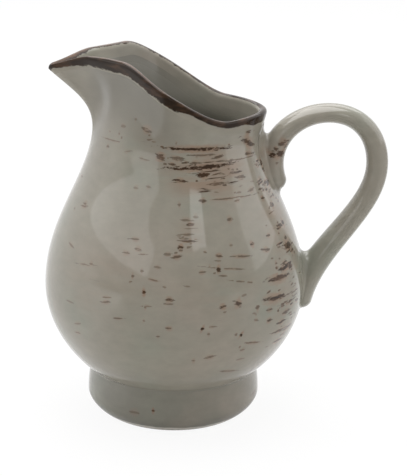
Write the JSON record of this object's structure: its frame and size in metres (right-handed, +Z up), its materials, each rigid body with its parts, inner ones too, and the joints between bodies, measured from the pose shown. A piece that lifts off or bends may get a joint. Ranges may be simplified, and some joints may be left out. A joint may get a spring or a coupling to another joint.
{
  "type": "milk jug",
  "caption": "Round-bellied glazed stoneware milk jug on a foot ring, with a rising lip drawn into a pouring beak and a looped handle luted on opposite it.",
  "frame": {"origin": "under the middle of the jug's overall box, on the surface that it stands on", "axes": "+Z up; +X towards the handle, so the beak points to -X; the XZ plane is the jug's mirror plane"},
  "size_m": [0.1528, 0.1164, 0.1663],
  "materials": {
    "glaze": "gloss",
    "iron_glaze": "gloss"
  },
  "bodies": {
    "root": {"vessel_body": "glaze", "rim_band": "iron_glaze", "foot_ring": "glaze", "handle": "glaze", "upper_handle_joint": "glaze", "lower_handle_joint": "glaze"}
  },
  "joints": []
}
